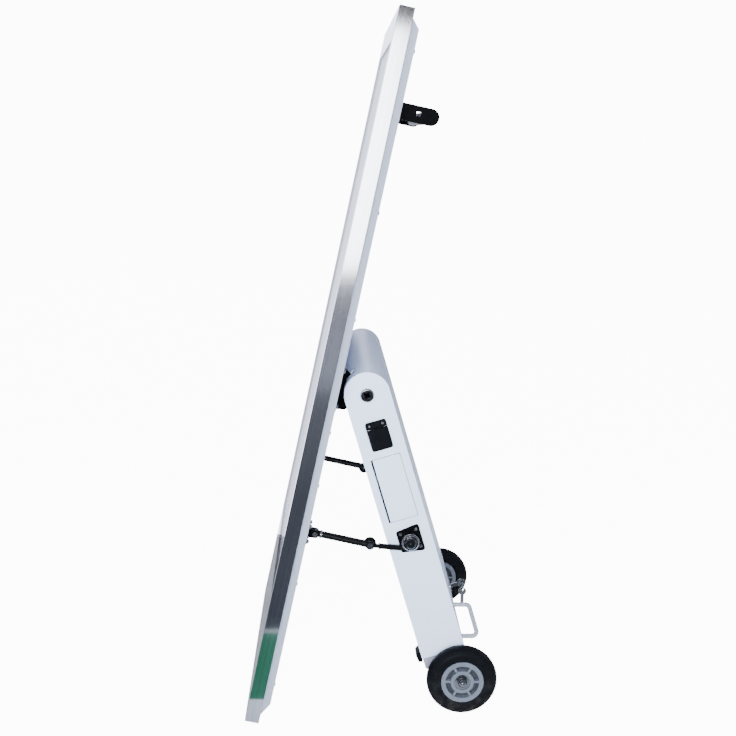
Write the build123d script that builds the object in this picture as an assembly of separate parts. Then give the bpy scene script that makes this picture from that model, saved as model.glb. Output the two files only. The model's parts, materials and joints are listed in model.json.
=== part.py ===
from build123d import *
import math
import os

# Wheeled battery A-board: a leaning display with a hinged battery leg on two wheels.
# Millimetres. X runs across the board, Y from the front to the back, Z up from the floor.
# The display is drawn upright in its own frame (Y back from the glass, Z up its face) and
# the leg in its own frame (Y rearward, Z up the leg from the hinge axis), then both lean.

# ---- driving dimensions ----
DISPLAY_W = 600.0          # overall width of the display
DISPLAY_H = 1222.0         # length of the display along its face
FRAME_T = 25.0             # front to back depth of the metal frame
RAIL_WALL = 2.0
RAIL_FLANGE = 20.0
GLASS_T = 4.0
SHELL_DEPTH = 14.0         # how far the rear shell stands behind the frame
SHELL_WALL = 1.5
SHELL_INSET = 12.0
SHELL_TOP_GAP = 14.0
SHELL_LOW_GAP = 10.0
SHELL_BEVEL = 14.0
SHELL_LOW_BEVEL = 16.0
TILT = 11.5                # degrees the display leans back
LEG_ANGLE = 17.0           # degrees the leg slopes back
SOLE_T = 1.0               # rubber under the rear edge of the frame

HINGE_UP = 594.0           # hinge axis above the display's lower end
HINGE_BACK = 88.5          # hinge axis behind the glass
LEG_W = 464.0
LEG_R = 39.5               # half of the leg box's thickness
LEG_LENGTH = 490.0         # hinge axis to the underside of the box
SHEET = 2.0                # sheet metal of the leg box

WHEEL_R = 62.5
WHEEL_W = 32.0
WHEEL_GAP = 3.0            # tyre to the side of the box
AXLE_R = 6.0
AXLE_BACK = 18.5

STAY_UP = 340.5            # front pivot of the stay on the display
STAY_BACK = 52.0
STAY_FRONT = 97.3          # pivot to pivot lengths of the two links
STAY_REAR = 70.9
STAY_DOWN = 272.5          # rear pivot of the stay below the hinge axis
TUBE_R = 6.0
RUN = 0.05                 # radial running clearance of a pin in its hole

# ---- derived places ----
HALF_W = DISPLAY_W / 2
SHELL_BACK = FRAME_T + SHELL_DEPTH
SIDE = LEG_W / 2
FOLD = TILT + LEG_ANGLE
tilt, lean = math.radians(TILT), math.radians(LEG_ANGLE)
lift = SOLE_T + FRAME_T * math.sin(tilt)
hinge_y = HINGE_BACK * math.cos(tilt) + HINGE_UP * math.sin(tilt)
hinge_z = lift + HINGE_UP * math.cos(tilt) - HINGE_BACK * math.sin(tilt)
AXLE_DOWN = (hinge_z - WHEEL_R + AXLE_BACK * math.sin(lean)) / math.cos(lean)
wheel_y = hinge_y + AXLE_DOWN * math.sin(lean) + AXLE_BACK * math.cos(lean)
y_shift = -(wheel_y + WHEEL_R) / 2
WHEEL_X = SIDE + WHEEL_GAP + WHEEL_W / 2

display_at = Location((0, y_shift, lift), (-TILT, 0, 0))
leg_at = Location((0, y_shift + hinge_y, hinge_z), (LEG_ANGLE, 0, 0))
hinge_row = Vector(0, y_shift + hinge_y, hinge_z)
axle_row = Vector(0, y_shift + wheel_y, WHEEL_R)

LOCK_PLATE_T = 2.5
LINK_X = SIDE + LOCK_PLATE_T + 0.3     # inner face of the rear link
LINK_T = 4.0
STAY_X = LINK_X + LINK_T + 0.6 + TUBE_R

nodes = {}


# ---- small helpers ----
def block(x0, x1, y0, y1, z0, z1):
    """A box between two opposite corners."""
    centre = Pos((x0 + x1) / 2, (y0 + y1) / 2, (z0 + z1) / 2)
    return centre * Box(abs(x1 - x0), abs(y1 - y0), abs(z1 - z0))


def rod_x(x0, x1, radius, y=0.0, z=0.0):
    """A cylinder along X from x0 to x1."""
    return Pos((x0 + x1) / 2, y, z) * Rot(0, 90, 0) * Cylinder(radius, abs(x1 - x0))


def rod_y(y0, y1, radius, x=0.0, z=0.0):
    """A cylinder along Y from y0 to y1."""
    return Pos(x, (y0 + y1) / 2, z) * Rot(90, 0, 0) * Cylinder(radius, abs(y1 - y0))


def rod_z(z0, z1, radius, x=0.0, y=0.0):
    """A cylinder along Z from z0 to z1."""
    return Pos(x, y, (z0 + z1) / 2) * Cylinder(radius, abs(z1 - z0))


def plate_yz(points, x0, x1):
    """An outline in the YZ plane given a thickness along X."""
    face = make_face(Polyline(*[(0, y, z) for y, z in points], close=True))
    return Pos(x0, 0, 0) * extrude(face, amount=x1 - x0, dir=(1, 0, 0))


def bar_between(p, q, radius):
    """A round bar from point p to point q."""
    p, q = Vector(*p), Vector(*q)
    axis = q - p
    return Plane(origin=p, z_dir=axis) * Cylinder(
        radius, axis.length, align=(Align.CENTER, Align.CENTER, Align.MIN))


def both(shape):
    """A piece and its mirror image on the other side, as one group."""
    return Compound([*shape.solids(), *mirror(shape, about=Plane.YZ).solids()])


def group(shapes):
    """Separate solids kept in one node."""
    return Compound([solid for shape in shapes for solid in shape.solids()])


def pan_screw_y(x, y, z, radius, height):
    """A low domed screw head standing rearward from y."""
    head = rod_y(y, y + height, radius, x, z)
    head = chamfer(head.faces().sort_by(Axis.Y)[-1].edges(), height * 0.45)
    slot = block(x - radius * 0.5, x + radius * 0.5, y + height * 0.5, y + height + 1, z - 0.5, z + 0.5)
    slot += block(x - 0.5, x + 0.5, y + height * 0.5, y + height + 1, z - radius * 0.5, z + radius * 0.5)
    return head - slot


def add_display(name, shape):
    nodes[name] = display_at * shape


def add_leg(name, shape):
    nodes[name] = leg_at * shape


# ---- display frame ----
def side_rail():
    """An outer wall with a glass seat and a rear flange."""
    inner = HALF_W - RAIL_WALL
    rail = block(inner, HALF_W, 0, FRAME_T, 0, DISPLAY_H)
    rail += block(inner - 8, inner, GLASS_T, GLASS_T + 2, RAIL_WALL, DISPLAY_H - RAIL_WALL)
    rail += block(inner - RAIL_FLANGE, inner, FRAME_T - 2, FRAME_T, RAIL_WALL, DISPLAY_H - RAIL_WALL)
    return rail


def end_rail(top):
    """A rail across one end of the frame, between the side rails."""
    inner = HALF_W - RAIL_WALL
    wall_in = RAIL_WALL
    rail = block(-inner, inner, 0, FRAME_T, 0, wall_in)
    rail += block(-inner + 8, inner - 8, GLASS_T, GLASS_T + 2, wall_in, wall_in + 8)
    rail += block(-inner + RAIL_FLANGE, inner - RAIL_FLANGE, FRAME_T - 2, FRAME_T, wall_in,
                  wall_in + RAIL_FLANGE)
    if top:
        rail = Pos(0, 0, DISPLAY_H) * mirror(rail, about=Plane.XY)
    return rail


def screen_parts():
    inner = HALF_W - RAIL_WALL - 0.3
    glass = block(-inner, inner, 0, GLASS_T, RAIL_WALL + 0.3, DISPLAY_H - RAIL_WALL - 0.3)
    glass = chamfer(glass.faces().sort_by(Axis.Y)[0].edges(), 0.6)
    add_display("front_glass", glass)
    add_display("lcd_panel", block(-270, 270, GLASS_T, GLASS_T + 4, LCD_LOW, LCD_LOW + 960))
    tray = block(-276, 276, GLASS_T + 4, 19, LCD_LOW - 6, LCD_LOW + 966)
    tray -= block(-268, 268, GLASS_T, 17.8, LCD_LOW + 2, LCD_LOW + 958)
    add_display("backlight_tray", tray)


def cross_bars():
    """Steel straps across the rear flanges that carry the hinge, stays and handle."""
    reach = HALF_W - RAIL_WALL - 0.5
    bars = [block(-reach, reach, 19, FRAME_T - 2, z - 20, z + 20) for z in CROSS_BARS]
    return group(bars)


def rear_shell():
    """A shallow bevelled tray that closes the back of the frame."""
    def tray(margin):
        x_base = HALF_W - SHELL_INSET - margin
        x_top = x_base - SHELL_BEVEL
        z0, z1 = SHELL_LOW_GAP + margin, DISPLAY_H - SHELL_TOP_GAP - margin
        base = Plane(origin=(0, FRAME_T, 0), x_dir=(1, 0, 0), z_dir=(0, 1, 0))
        back = Plane(origin=(0, SHELL_BACK - margin, 0), x_dir=(1, 0, 0), z_dir=(0, 1, 0))
        low = base * Pos(0, -(z0 + z1) / 2) * Rectangle(2 * x_base, z1 - z0)
        z0t, z1t = z0 + SHELL_LOW_BEVEL, z1 - SHELL_BEVEL
        high = back * Pos(0, -(z0t + z1t) / 2) * Rectangle(2 * x_top, z1t - z0t)
        return loft([low, high], ruled=True)
    shell = tray(0) - tray(SHELL_WALL)
    for row in range(VENT_ROWS):
        for column in range(VENT_COLUMNS):
            for side in (-1, 1):
                x = side * (70 + column * 24)
                z = VENT_LOW + row * 12
                shell -= block(x - 9, x + 9, SHELL_BACK - 3, SHELL_BACK + 1, z, z + 4)
    return shell


def boards_and_speakers():
    board = block(-110, 110, 27, 28.6, 690, 850)
    board += block(-70, -30, 28.6, 33, 740, 780)
    board += block(20, 90, 28.6, 32, 800, 830)
    board += block(-100, 100, 28.6, 35, 692, 704)
    posts = [rod_y(FRAME_T - 2, 27, 4, x, z) for x in (-100, 100) for z in (700, 840)]
    plate = block(-120, 120, 19, 22.9, 680, 860)
    add_display("main_board", board)
    add_display("board_plate", plate + posts[0] + posts[1] + posts[2] + posts[3]
                + group([rod_y(22, FRAME_T, 4, x, z) for x in (-100, 100) for z in (700, 840)]))
    boxes = [block(x - 45, x + 45, 7, 34, 60, 150) for x in (-180, 180)]
    cones = [rod_y(34, 36.5, 26, x, 105) - rod_y(34.5, 37, 22, x, 105) for x in (-180, 180)]
    feet = [block(x - 45, x + 45, 19, FRAME_T - 2, 10, 60.5) for x in (-180, 180)]
    add_display("speakers", group([b + c + f for b, c, f in zip(boxes, cones, feet)]))


LCD_LOW = 213.0
CROSS_BARS = (337.0, 586.0, 1063.0)
VENT_ROWS, VENT_COLUMNS, VENT_LOW = 6, 5, 700.0
BRACKET_X = 184.0
BRACKET_HALF = 4.0


def hinge_bracket():
    """A base plate with one ear that reaches into the leg box to the hinge shaft."""
    back, up = HINGE_BACK, HINGE_UP
    base = block(BRACKET_X - 28, BRACKET_X + 28, SHELL_BACK, SHELL_BACK + 4, up - 45, up + 35)
    profile = [(SHELL_BACK + 3, up - 45), (back - 30, up - 43), (back + 4, up - 14), (back + 4, up + 14),
               (back - 26, up + 17), (SHELL_BACK + 3, up + 30)]
    ear = plate_yz(profile, BRACKET_X - BRACKET_HALF, BRACKET_X + BRACKET_HALF)
    ear += rod_x(BRACKET_X - 7, BRACKET_X + 7, 15, back, up)
    return base + ear - rod_x(BRACKET_X - 9, BRACKET_X + 9, 11, back, up)


def bracket_screws():
    """Screws of one hinge bracket, one stay bracket and one handle end."""
    hinge = [(BRACKET_X + dx, HINGE_UP + dz) for dx in (-19, 19) for dz in (-36, 26)]
    stay = [(STAY_X + dx, STAY_UP + dz) for dx in (-12.5, 12.5) for dz in (-13.5, 13.5)]
    handle = [(HANDLE_X - 14, HANDLE_UP + dz) for dz in (-8.5, 8.5)]
    screws = [pan_screw_y(x, SHELL_BACK + 4, z, 4, 2.4) for x, z in hinge]
    screws += [pan_screw_y(x, SHELL_BACK + 2, z, 3.5, 3.2) for x, z in stay]
    screws += [pan_screw_y(x, SHELL_BACK + 3, z, 3.5, 2.2) for x, z in handle]
    return group(screws)


def stay_bracket():
    """A plate on the rear shell with two ears round the stay's front pivot."""
    plate = block(STAY_X - 17, STAY_X + 17, SHELL_BACK, SHELL_BACK + 2, STAY_UP - 18, STAY_UP + 18)
    ears = []
    for x in (STAY_X - TUBE_R - 2.8, STAY_X + TUBE_R + 0.3):
        ear = block(x, x + 2.5, SHELL_BACK + 1.5, STAY_BACK, STAY_UP - 7, STAY_UP + 7)
        ear += rod_x(x, x + 2.5, 7, STAY_BACK, STAY_UP)
        ears.append(ear)
    hole = rod_x(STAY_X - 20, STAY_X + 20, 2.5, STAY_BACK, STAY_UP)
    return plate + ears[0] + ears[1] - hole


def stay_pin():
    """The headed pin through the front pivot."""
    reach = TUBE_R + 2.8
    pin = rod_x(STAY_X - reach, STAY_X + reach, 2.5, STAY_BACK, STAY_UP)
    return pin + rod_x(STAY_X + reach, STAY_X + reach + 1.8, 4.5, STAY_BACK, STAY_UP)


HANDLE_X = 232.0
HANDLE_UP = 1067.4
HANDLE_H = 28.0
HANDLE_END = 104.5
GRIP_BACK = 88.0
GRIP_R = 11.0


def handle_end():
    """A sheet end plate with a rounded nose, a square window and a foot flange."""
    low, high = HANDLE_UP - HANDLE_H / 2, HANDLE_UP + HANDLE_H / 2
    nose = HANDLE_H / 2
    plate = block(HANDLE_X - 3, HANDLE_X, SHELL_BACK, HANDLE_END - nose, low, high)
    plate += rod_x(HANDLE_X - 3, HANDLE_X, nose, HANDLE_END - nose, HANDLE_UP)
    plate += block(HANDLE_X - 24, HANDLE_X - 2, SHELL_BACK, SHELL_BACK + 3, low, high)
    plate -= block(HANDLE_X - 4, HANDLE_X + 1, 66, 74.5, HANDLE_UP - 3, HANDLE_UP + 4.5)
    return plate


def handle_grip():
    """A round tube grip welded between the end plates, flared at both ends."""
    reach = HANDLE_X - 3
    tube = rod_x(-reach, reach, GRIP_R, GRIP_BACK, HANDLE_UP - 1)
    tube -= rod_x(-reach + 4, reach - 4, GRIP_R - 1.5, GRIP_BACK, HANDLE_UP - 1)
    for side in (-1, 1):
        tube += rod_x(side * (reach - 3), side * reach, GRIP_R + 2, GRIP_BACK, HANDLE_UP - 1)
    return tube


def sole():
    """A rubber wedge with a level underside, under the lower rail."""
    half_len = 60.0
    x = 200.0
    front = 1.5
    run = FRAME_T * math.cos(tilt)
    points = [(y_shift + front, 0), (y_shift + run, 0), (y_shift + run, SOLE_T),
              (y_shift + front, lift - front * math.tan(tilt))]
    return plate_yz(points, x - half_len, x + half_len)


def shell_screws():
    """Rows of small screws round the rear shell."""
    x = HALF_W - SHELL_INSET - SHELL_BEVEL - 10
    levels = (60, 250, 430, 524, 720, 900, 1160)
    spots = [(side * x, z) for side in (-1, 1) for z in levels]
    spots += [(side * 90, z) for side in (-1, 1) for z in (60, 1170)]
    return group([pan_screw_y(sx, SHELL_BACK, z, 3.2, 1.8) for sx, z in spots])


def build_display():
    rail = side_rail()
    add_display("right_side_rail", rail)
    add_display("left_side_rail", mirror(rail, about=Plane.YZ))
    add_display("top_rail", end_rail(True))
    add_display("bottom_rail", end_rail(False))
    screen_parts()
    add_display("cross_bars", cross_bars())
    add_display("rear_shell", rear_shell())
    boards_and_speakers()
    add_display("hinge_brackets", both(hinge_bracket()))
    bush = rod_x(BRACKET_X - 7, BRACKET_X + 7, 11, HINGE_BACK, HINGE_UP)
    bush -= rod_x(BRACKET_X - 9, BRACKET_X + 9, SHAFT_R + RUN, HINGE_BACK, HINGE_UP)
    add_display("hinge_bushes", both(bush))
    add_display("stay_brackets", both(stay_bracket()))
    add_display("stay_pins", both(stay_pin()))
    add_display("handle_ends", both(handle_end()))
    add_display("handle_grip", handle_grip())
    add_display("bracket_screws", both(bracket_screws()))
    add_display("rear_shell_screws", shell_screws())
    nodes["rubber_soles"] = both(sole())


# ---- leg box ----
SHAFT_R = 8.0
PORT_TOP, PORT_LOW, PORT_HALF = 47.0, 99.0, 18.5
PORT_HINGE = 60.0
FLAP_T = 2.5
DOOR_TOP, DOOR_LOW, DOOR_FRONT, DOOR_REAR = 113.0, 230.0, -26.5, 26.0
DOOR_GAP = 0.8
PULL_GAP = 3.0
SHELF_DOWN = 232.0
REAR_TOP, REAR_LOW = 44.0, 484.0
REAR_HALF = SIDE - 3.0
REAR_PIN_R = 1.5
REAR_AXIS_B = LEG_R - 4.5
REAR_AXIS_DOWN = REAR_TOP + 13.0
LOCK_ROW = 465.0
CAM_R = 8.0


def leg_outline(inset):
    """The closed side outline of the box: round over the hinge, square at the foot."""
    radius = LEG_R - inset
    foot = -LEG_LENGTH + inset
    sides = Polyline((0, -radius, 0), (0, -radius, foot), (0, radius, foot), (0, radius, 0))
    over = ThreePointArc((0, radius, 0), (0, 0, radius), (0, -radius, 0))
    return make_face([*sides.edges(), over])


def side_plate():
    """The flat side of the leg box with its battery and inlet openings."""
    plate = Pos(SIDE - SHEET, 0, 0) * extrude(leg_outline(0), amount=SHEET, dir=(1, 0, 0))
    return plate - rod_x(SIDE - 5, SIDE + 5, SHAFT_R, 0, 0)


def front_wrap():
    """One bent sheet: the front wall, the round top and the upper strip of the rear."""
    reach = SIDE - SHEET
    outer = Pos(-reach, 0, 0) * extrude(leg_outline(0), amount=2 * reach, dir=(1, 0, 0))
    inner = Pos(-reach - 1, 0, 0) * extrude(leg_outline(SHEET), amount=2 * reach + 2, dir=(1, 0, 0))
    wrap = outer - inner
    wrap -= block(-reach - 1, reach + 1, 0, LEG_R + 1, -LEG_LENGTH - 1, -REAR_TOP)
    wrap -= block(-reach - 1, reach + 1, -LEG_R + SHEET, LEG_R + 1, -LEG_LENGTH - 1, -LEG_LENGTH + SHEET)
    for side in (-1, 1):
        x = side * BRACKET_X
        wrap -= block(x - 9, x + 9, -LEG_R - 5, -12, -52, 43)
    return wrap


def foot_plate():
    """The bottom of the box with a lip that the cam lock catches."""
    reach = SIDE - SHEET
    plate = block(-reach, reach, -LEG_R + SHEET, LEG_R, -LEG_LENGTH, -LEG_LENGTH + SHEET)
    lip = block(-40, 40, 28, 30, -LEG_LENGTH + SHEET - 0.5, -LOCK_ROW - 8)
    return plate + lip


def shelf():
    """The floor of the battery bay."""
    reach = SIDE - SHEET
    deck = block(-reach, reach, -LEG_R + SHEET, 34, -SHELF_DOWN - 1.5, -SHELF_DOWN)
    apron = block(-reach, reach, 32.5, 34, -SHELF_DOWN - 16, -SHELF_DOWN - 1.5)
    pivot = rod_z(-SHELF_DOWN - 3, -SHELF_DOWN + 1, DOOR_PIN_R + RUN, DOOR_AXIS_X, DOOR_AXIS_B)
    return deck + apron - pivot


def battery():
    """A removable pack with a pull bar, standing on the shelf behind the side door."""
    end = SIDE - 19
    pack = block(0, end, -24.5, 24.5, -SHELF_DOWN, -DOOR_TOP - 4)
    pack = chamfer(pack.edges().filter_by(Axis.X), 4)
    for x in (40, 105, 170):
        pack -= block(x, x + 30, 23.5, 25, -SHELF_DOWN + 15, -DOOR_TOP - 20)
    pull = block(end, end + 4.5, -16, -12, -190, -150) + block(end, end + 4.5, 0, 4, -190, -150)
    pull += block(end + 3, end + 5.5, -16, 4, -174, -166)
    return pack + pull


def charger():
    """The charger and power board in a vented case on the shelf."""
    case = block(-228, -24, -24, 24, -SHELF_DOWN, -126)
    case = chamfer(case.edges().filter_by(Axis.X), 3)
    for step in range(9):
        x = -216 + step * 20
        case -= block(x, x + 10, 23, 25, -215, -150)
    return case


DOOR_PIN_R = 1.2
DOOR_AXIS_X = SIDE - 4.5
DOOR_AXIS_B = DOOR_REAR - DOOR_GAP - 12


def battery_door():
    """A flush door in the side plate, turning on two pins that it carries behind its face."""
    door = block(SIDE - SHEET, SIDE, DOOR_FRONT + PULL_GAP, DOOR_REAR - DOOR_GAP,
                 -DOOR_LOW + DOOR_GAP, -DOOR_TOP - DOOR_GAP)
    door = fillet(door.edges().filter_by(Axis.X), 2)
    for z0, z1 in ((-DOOR_TOP - 6, -DOOR_TOP - 1.2), (-DOOR_LOW + 1.2, -DOOR_LOW + 6)):
        door += block(DOOR_AXIS_X - 2.5, SIDE - 1.5, DOOR_AXIS_B - 3, DOOR_AXIS_B + 3, z0, z1)
    door += rod_z(-DOOR_TOP - 2, -DOOR_TOP + 4.5, DOOR_PIN_R, DOOR_AXIS_X, DOOR_AXIS_B)
    return door + rod_z(-SHELF_DOWN - 2.5, -DOOR_LOW + 2, DOOR_PIN_R, DOOR_AXIS_X, DOOR_AXIS_B)


def door_lug():
    """The lug above the battery door that its upper pin turns in."""
    lug = block(DOOR_AXIS_X - 3, SIDE - SHEET, DOOR_AXIS_B - 4, DOOR_AXIS_B + 4, -DOOR_TOP + 1, -DOOR_TOP + 4)
    return lug - rod_z(-DOOR_TOP, -DOOR_TOP + 5, DOOR_PIN_R + RUN, DOOR_AXIS_X, DOOR_AXIS_B)


def port_parts():
    """The inlet, the fixed strip with two screws and the hanging flap."""
    x0, x1 = SIDE, SIDE + FLAP_T
    strip = block(x0, x1, -PORT_HALF, PORT_HALF, -PORT_HINGE + 0.3, -PORT_TOP)
    strip = fillet(strip.edges().filter_by(Axis.X).sort_by(Axis.Z)[-2:], 4)
    slope = [(x1 - 1.3, -PORT_HINGE), (x1 + 1, -PORT_HINGE), (x1 + 1, -PORT_HINGE + 2.6)]
    wedge = make_face(Polyline([(x, -PORT_HALF - 1, z) for x, z in slope], close=True))
    strip -= extrude(wedge, amount=2 * PORT_HALF + 2, dir=(0, 1, 0))
    flap = block(x0 + 0.2, x1, -PORT_HALF, PORT_HALF, -PORT_LOW, -PORT_HINGE - 0.3)
    flap = fillet(flap.edges().filter_by(Axis.X).sort_by(Axis.Z)[:2], 4)
    flap += block(x1 - 0.1, x1 + 1.2, -6, 6, -PORT_LOW + 3, -PORT_LOW + 5.5)
    pin_x = x1 - 0.6
    strip -= rod_y(-12, 12, 1.2, pin_x, -PORT_HINGE)
    flap -= rod_y(-12.3, 12.3, 1.2, pin_x, -PORT_HINGE)
    pin = rod_y(-11.7, 11.7, 0.55, pin_x, -PORT_HINGE)
    add_leg("port_strip", strip)
    add_leg("port_flap", flap)
    heads = [rod_x(x1, x1 + 0.9, 2.2, b, -PORT_TOP - 6.5) for b in (-11.8, 11.8)]
    slots = [block(x1 + 0.4, x1 + 1.2, b - 1.6, b + 1.6, -PORT_TOP - 6.9, -PORT_TOP - 6.1)
             for b in (-11.8, 11.8)]
    inlet = block(SIDE - 20, SIDE + 0.1, -12, 12, -92, -68)
    inlet -= block(SIDE - 15, SIDE + 1, -9.5, 9.5, -89.5, -70.5)
    for b in (-5, 0, 5):
        inlet += block(SIDE - 16, SIDE - 9, b - 0.8, b + 0.8, -82, -78)
    add_leg("charging_inlet", inlet)
    return pin, group([head - slot for head, slot in zip(heads, slots)])


def lock_plate():
    """The plate that the stay's rear pivot turns on, with its countersunk screws flush."""
    corners = [(-20, 24), (21.5, 29), (21.5, -21), (-20, -14)]
    plate = plate_yz([(b, z - STAY_DOWN) for b, z in corners], SIDE, SIDE + LOCK_PLATE_T)
    plate = fillet(plate.edges().filter_by(Axis.X), 4)
    for b, z in LOCK_SCREWS:
        plate -= rod_x(SIDE + 1, SIDE + 5, 3.2, b, z - STAY_DOWN)
    return plate


LOCK_SCREWS = ((-13.5, 18.5), (15, 20), (15, -12), (-13.5, -8))


def lock_screws():
    heads = []
    for b, up in LOCK_SCREWS:
        z = up - STAY_DOWN
        head = rod_x(SIDE + 1, SIDE + LOCK_PLATE_T, 3.2, b, z)
        head -= block(SIDE + 2, SIDE + 3, b - 2, b + 2, z - 0.4, z + 0.4)
        head -= block(SIDE + 2, SIDE + 3, b - 0.4, b + 0.4, z - 2, z + 2)
        heads.append(head)
    return group(heads)


def pivot_cap():
    """A domed bolt head on the hinge axis with a lobed recess."""
    cap = rod_x(SIDE, SIDE + 4.5, 12.3)
    cap = fillet(cap.faces().sort_by(Axis.X)[-1].edges(), 3)
    recess = rod_x(SIDE + 2.5, SIDE + 6, 4)
    for turn in range(4):
        angle = math.radians(45 + 90 * turn)
        recess += rod_x(SIDE + 2.5, SIDE + 6, 2, 5 * math.cos(angle), 5 * math.sin(angle))
    return cap - recess


def rear_door():
    """The hinged rear cover of the box with a folded rim and vents."""
    door = block(-REAR_HALF, REAR_HALF, LEG_R - SHEET, LEG_R, -REAR_LOW, -REAR_TOP - 1.0)
    door += block(-REAR_HALF + 2, REAR_HALF - 2, LEG_R - 5, LEG_R - SHEET, -REAR_TOP - 5, -REAR_TOP - 3)
    door += block(-REAR_HALF + 2, REAR_HALF - 2, LEG_R - 5, LEG_R - SHEET, -REAR_LOW + 1, -REAR_LOW + 3)
    for side in (-1, 1):
        edge = side * (REAR_HALF - 3)
        door += block(edge - 1, edge + 1, LEG_R - 5, LEG_R - SHEET, -REAR_LOW + 3, -REAR_TOP - 5)
        door += rod_x(edge - 1, edge + 1, 4, REAR_AXIS_B, -REAR_AXIS_DOWN)
        door -= rod_x(edge - 3, edge + 3, REAR_PIN_R + RUN, REAR_AXIS_B, -REAR_AXIS_DOWN)
    for row in range(7):
        for side in (-1, 1):
            x = side * 70
            z = -150 - row * 12
            door -= block(x - 35, x + 35, LEG_R - 3, LEG_R + 1, z - 2, z + 2)
    return door - rod_y(LEG_R - 4, LEG_R + 1, CAM_R + RUN, 0, -LOCK_ROW)


def rear_pins():
    """The pins on the side plates that the rear door turns on."""
    return both(rod_x(REAR_HALF - 7, SIDE - SHEET, REAR_PIN_R, REAR_AXIS_B, -REAR_AXIS_DOWN))


REAR_BAR_X, REAR_BAR_TOP, REAR_BAR_LOW = SIDE - 10, 410.0, 472.0
REAR_BAR_BACK, REAR_BAR_R = 67.0, 4.0


def rear_bar():
    """A bent round bar on the rear door whose legs stand level when the board is open."""
    def at(back, down):
        return (REAR_BAR_X, back, -down - (back - LEG_R) * math.tan(lean))
    y0, y1 = LEG_R - 3, REAR_BAR_BACK
    corners = [at(y0, REAR_BAR_TOP), at(y1, REAR_BAR_TOP), at(y1, REAR_BAR_LOW), at(y0, REAR_BAR_LOW)]
    path = FilletPolyline(*corners, radius=8)
    start = Plane(origin=corners[0], z_dir=(0, 1, -math.tan(lean)))
    bar = sweep(start * Circle(REAR_BAR_R), path=path)
    return bar - block(REAR_BAR_X - 9, REAR_BAR_X + 9, LEG_R - 20, LEG_R, -REAR_BAR_LOW - 20, -REAR_BAR_TOP + 20)


def cam_lock():
    """The lock cylinder, its cam and the key that stays in it."""
    barrel = rod_y(LEG_R - 12, LEG_R + 1.5, CAM_R, 0, -LOCK_ROW)
    barrel += rod_y(LEG_R + 0.3, LEG_R + 2.5, CAM_R + 3, 0, -LOCK_ROW)
    barrel -= block(-0.9, 0.9, LEG_R - 4, LEG_R + 3, -LOCK_ROW - 4, -LOCK_ROW + 4)
    cam = block(-18, 8, LEG_R - 14, LEG_R - 12, -LOCK_ROW - 7, -LOCK_ROW + 7)
    return barrel + cam


KEY_T = 1.6
BOW_R = 8.0


def lock_key():
    """The key standing in the lock, with a hole in its round bow."""
    key = block(-KEY_T / 2, KEY_T / 2, LEG_R - 3, LEG_R + 17, -LOCK_ROW - 3.4, -LOCK_ROW + 3.4)
    key += rod_x(-KEY_T / 2, KEY_T / 2, BOW_R, LEG_R + 24, -LOCK_ROW)
    return key - rod_x(-2, 2, BOW_HOLE, LEG_R + 27, -LOCK_ROW)


def bumper():
    """A rubber block with a bevelled nose on the front wall."""
    points = [(-LEG_R, -LEG_LENGTH - 6), (-LEG_R - 7.2, -LEG_LENGTH - 4.5), (-LEG_R - 9.2, -LEG_LENGTH + 9),
              (-LEG_R, -LEG_LENGTH + 16)]
    return plate_yz(points, SIDE - 34, SIDE - 1)


def axle_bracket():
    """A folded plate that hangs the axle under the box."""
    z = -LEG_LENGTH
    points = [(-LEG_R + 1, z), (-LEG_R + 1, z - 20), (AXLE_BACK - 12, -AXLE_DOWN - 10),
              (AXLE_BACK + 12, -AXLE_DOWN - 10), (LEG_R - 1, z - 14), (LEG_R - 1, z)]
    plate = plate_yz(points, SIDE - 10, SIDE - 4)
    plate += rod_x(SIDE - 10, SIDE - 4, 16, AXLE_BACK, -AXLE_DOWN)
    plate += block(SIDE - 40, SIDE - 10, -LEG_R + 1, LEG_R - 1, z - 4, z)
    return plate - rod_x(SIDE - 20, SIDE + 5, AXLE_R, AXLE_BACK, -AXLE_DOWN)


def axle():
    """One rod through both brackets with a washer inboard of each wheel."""
    reach = WHEEL_X + 14
    rod = rod_x(-reach, reach, AXLE_R, AXLE_BACK, -AXLE_DOWN)
    for side in (-1, 1):
        rod += rod_x(side * (SIDE - 4), side * (SIDE + WHEEL_GAP - 0.3), 11, AXLE_BACK, -AXLE_DOWN)
    return rod


def axle_nut():
    """A domed nut on the end of the axle, inside the hub's recess."""
    start = WHEEL_X + HUB_SEAT + 0.3
    nut = rod_x(start, start + 1.2, 12, AXLE_BACK, -AXLE_DOWN)
    body = Pos(start + 1.2, AXLE_BACK, -AXLE_DOWN) * Rot(0, 90, 0) * extrude(RegularPolygon(9.5, 6), amount=5)
    dome = Pos(start + 6.2, AXLE_BACK, -AXLE_DOWN) * Sphere(8.0)
    dome &= rod_x(start + 6.2, start + 20, 10, AXLE_BACK, -AXLE_DOWN)
    bore = rod_x(start - 5, WHEEL_X + 14, AXLE_R, AXLE_BACK, -AXLE_DOWN)
    return nut + body + dome - bore


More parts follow.
